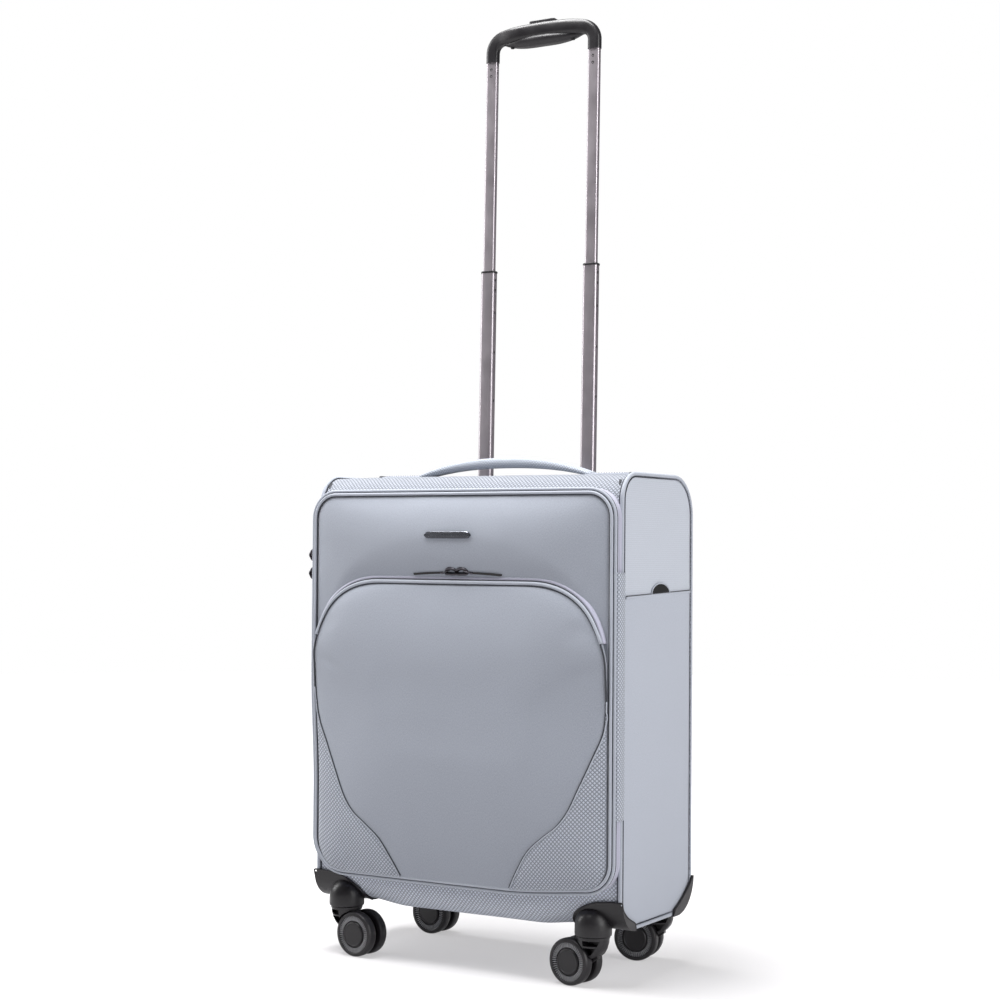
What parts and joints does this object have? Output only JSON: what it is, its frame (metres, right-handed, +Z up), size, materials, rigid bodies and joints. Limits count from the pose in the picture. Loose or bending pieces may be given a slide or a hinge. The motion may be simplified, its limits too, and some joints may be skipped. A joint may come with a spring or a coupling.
{
  "type": "softside upright suitcase",
  "caption": "Upright softside cabin case with a zipped book-opening lid, arched front pocket, telescopic trolley handle and twin-wheel swivel casters.",
  "frame": {"origin": "on the floor under the middle of the whole footprint", "axes": "+Z up, -Y out of the front (lid side), +X to the right of someone facing the lid"},
  "size_m": [0.3964, 0.2052, 1.0846],
  "materials": {
    "front_fabric": "matte heathered polyester weave, diamond-embossed on the rim",
    "side_fabric": "matte polyester weave, dotted emboss above the side pocket",
    "zip_tape": "woven zip tape with a reverse coil",
    "lining_cloth": "smooth lining cloth",
    "strap_webbing": "ribbed webbing",
    "black_plastic": "fine-grained moulded plastic",
    "board": "flat stiffener sheet",
    "trolley_tube": "satin anodised, lengthwise brushed",
    "axle_steel": "plain steel pin",
    "gunmetal": "dark nickel, polished edges",
    "badge_metal": "polished dark metal bar",
    "puller_leather": "black strip with stitched edges",
    "wheel": "matte black with a fine serrated ring"
  },
  "bodies": {
    "case": {"body_band": "front_fabric", "side_panel_left": "side_fabric", "side_panel_right": "side_fabric", "side_pocket_right": "side_fabric", "side_pocket_notch": "black_plastic", "back_board": "board", "lining": "lining_cloth", "packing_strap_left": "strap_webbing", "packing_strap_right": "strap_webbing", "strap_buckle": "black_plastic", "case_zip_tape": "zip_tape", "carry_handle": "front_fabric", "handle_anchor_left": "front_fabric", "handle_anchor_right": "front_fabric", "trolley_bezel": "black_plastic", "trolley_foot_bracket": "black_plastic", "trolley_outer_tube_left": "trolley_tube", "trolley_outer_tube_right": "trolley_tube", "caster_housing_front_right": "black_plastic", "caster_housing_front_left": "black_plastic", "caster_housing_rear_right": "black_plastic", "caster_housing_rear_left": "black_plastic"},
    "lid": {"lid_panel": "front_fabric", "lid_zip_tape": "zip_tape", "lid_lining": "lining_cloth", "hinge_strip": "front_fabric", "pocket_panel": "front_fabric", "pocket_zip_tape": "zip_tape", "badge": "badge_metal"},
    "trolley_mid": {"trolley_mid_tube_left": "trolley_tube", "trolley_mid_tube_right": "trolley_tube"},
    "trolley_grip": {"trolley_inner_tube_left": "trolley_tube", "trolley_inner_tube_right": "trolley_tube", "grip_shell": "black_plastic", "grip_cover": "black_plastic"},
    "release_button": {"release_button": "black_plastic"},
    "pocket_slider_left": {"pocket_slider_left": "gunmetal"},
    "pocket_puller_left": {"pocket_puller_left": "puller_leather"},
    "pocket_slider_right": {"pocket_slider_right": "gunmetal"},
    "pocket_puller_right": {"pocket_puller_right": "puller_leather"},
    "main_slider_lower": {"main_slider_lower": "gunmetal"},
    "main_puller_lower": {"main_puller_lower": "gunmetal"},
    "main_slider_upper": {"main_slider_upper": "gunmetal"},
    "main_puller_upper": {"main_puller_upper": "gunmetal"},
    "fork_front_right": {"caster_fork_front_right": "black_plastic", "caster_axle_front_right": "axle_steel"},
    "wheel_front_right_a": {"wheel_front_right_a": "wheel"},
    "wheel_front_right_b": {"wheel_front_right_b": "wheel"},
    "fork_front_left": {"caster_fork_front_left": "black_plastic", "caster_axle_front_left": "axle_steel"},
    "wheel_front_left_a": {"wheel_front_left_a": "wheel"},
    "wheel_front_left_b": {"wheel_front_left_b": "wheel"},
    "fork_rear_right": {"caster_fork_rear_right": "black_plastic", "caster_axle_rear_right": "axle_steel"},
    "wheel_rear_right_a": {"wheel_rear_right_a": "wheel"},
    "wheel_rear_right_b": {"wheel_rear_right_b": "wheel"},
    "fork_rear_left": {"caster_fork_rear_left": "black_plastic", "caster_axle_rear_left": "axle_steel"},
    "wheel_rear_left_a": {"wheel_rear_left_a": "wheel"},
    "wheel_rear_left_b": {"wheel_rear_left_b": "wheel"}
  },
  "joints": [
    {"name": "lid_hinge", "type": "hinge", "parent": "case", "child": "lid", "pos_m": [0.1975, -0.0781, 0.313], "axis": [0, 0, 1], "range_deg": [0, 170]},
    {"name": "trolley_mid_slide", "type": "slide", "parent": "case", "child": "trolley_mid", "axis": [0, 0.0192, 0.9998], "range_m": [-0.279, 0]},
    {"name": "trolley_inner_slide", "type": "slide", "parent": "trolley_mid", "child": "trolley_grip", "axis": [0, 0.0192, 0.9998], "range_m": [-0.252, 0]},
    {"name": "release_button_press", "type": "slide", "parent": "trolley_grip", "child": "release_button", "axis": [0, -0.0192, -0.9998], "range_m": [0, 0.003]},
    {"name": "pocket_slider_left_run", "type": "slide", "parent": "lid", "child": "pocket_slider_left", "axis": [1, 0, 0], "range_m": [-0.062, 0]},
    {"name": "pocket_puller_left_flip", "type": "hinge", "parent": "pocket_slider_left", "child": "pocket_puller_left", "pos_m": [-0.0085, -0.0981, 0.4348], "axis": [0, 1, 0], "range_deg": [0, 45]},
    {"name": "pocket_slider_right_run", "type": "slide", "parent": "lid", "child": "pocket_slider_right", "axis": [1, 0, 0], "range_m": [0, 0.055]},
    {"name": "pocket_puller_right_flip", "type": "hinge", "parent": "pocket_slider_right", "child": "pocket_puller_right", "pos_m": [0.0179, -0.0981, 0.4348], "axis": [0, -1, 0], "range_deg": [0, 45]},
    {"name": "main_slider_lower_run", "type": "slide", "parent": "case", "child": "main_slider_lower", "axis": [0, 0, 1], "range_m": [-0.28, 0]},
    {"name": "main_puller_lower_flip", "type": "hinge", "parent": "main_slider_lower", "child": "main_puller_lower", "pos_m": [-0.1982, -0.0816, 0.4305], "axis": [0, 0, 1], "range_deg": [0, 120]},
    {"name": "main_slider_upper_run", "type": "slide", "parent": "case", "child": "main_slider_upper", "axis": [0, 0, 1], "range_m": [0, 0.03]},
    {"name": "main_puller_upper_flip", "type": "hinge", "parent": "main_slider_upper", "child": "main_puller_upper", "pos_m": [-0.1982, -0.0816, 0.4515], "axis": [0, 0, 1], "range_deg": [0, 120]},
    {"name": "caster_swivel_front_right", "type": "hinge", "parent": "case", "child": "fork_front_right", "pos_m": [0.159, -0.0711, 0.06], "axis": [0, 0, 1], "continuous": true},
    {"name": "wheel_front_right_a_spin", "type": "hinge", "parent": "fork_front_right", "child": "wheel_front_right_a", "pos_m": [0.13533, -0.07787, 0.025], "axis": [-0.1392, -0.9903, 0], "continuous": true},
    {"name": "wheel_front_right_b_spin", "type": "hinge", "parent": "fork_front_right", "child": "wheel_front_right_b", "pos_m": [0.13811, -0.05807, 0.025], "axis": [-0.1392, -0.9903, 0], "continuous": true},
    {"name": "caster_swivel_front_left", "type": "hinge", "parent": "case", "child": "fork_front_left", "pos_m": [-0.159, -0.0711, 0.06], "axis": [0, 0, 1], "continuous": true},
    {"name": "wheel_front_left_a_spin", "type": "hinge", "parent": "fork_front_left", "child": "wheel_front_left_a", "pos_m": [-0.13571, -0.0631, 0.025], "axis": [0.0872, 0.9962, 0], "continuous": true},
    {"name": "wheel_front_left_b_spin", "type": "hinge", "parent": "fork_front_left", "child": "wheel_front_left_b", "pos_m": [-0.13746, -0.08302, 0.025], "axis": [0.0872, 0.9962, 0], "continuous": true},
    {"name": "caster_swivel_rear_right", "type": "hinge", "parent": "case", "child": "fork_rear_right", "pos_m": [0.159, 0.0829, 0.06], "axis": [0, 0, 1], "continuous": true},
    {"name": "wheel_rear_right_a_spin", "type": "hinge", "parent": "fork_rear_right", "child": "wheel_rear_right_a", "pos_m": [0.13811, 0.06987, 0.025], "axis": [0.1392, -0.9903, 0], "continuous": true},
    {"name": "wheel_rear_right_b_spin", "type": "hinge", "parent": "fork_rear_right", "child": "wheel_rear_right_b", "pos_m": [0.13533, 0.08967, 0.025], "axis": [0.1392, -0.9903, 0], "continuous": true},
    {"name": "caster_swivel_rear_left", "type": "hinge", "parent": "case", "child": "fork_rear_left", "pos_m": [-0.159, 0.0829, 0.06], "axis": [0, 0, 1], "continuous": true},
    {"name": "wheel_rear_left_a_spin", "type": "hinge", "parent": "fork_rear_left", "child": "wheel_rear_left_a", "pos_m": [-0.13601, 0.09171, 0.025], "axis": [0.0523, 0.9986, 0], "continuous": true},
    {"name": "wheel_rear_left_b_spin", "type": "hinge", "parent": "fork_rear_left", "child": "wheel_rear_left_b", "pos_m": [-0.13705, 0.07174, 0.025], "axis": [0.0523, 0.9986, 0], "continuous": true}
  ]
}
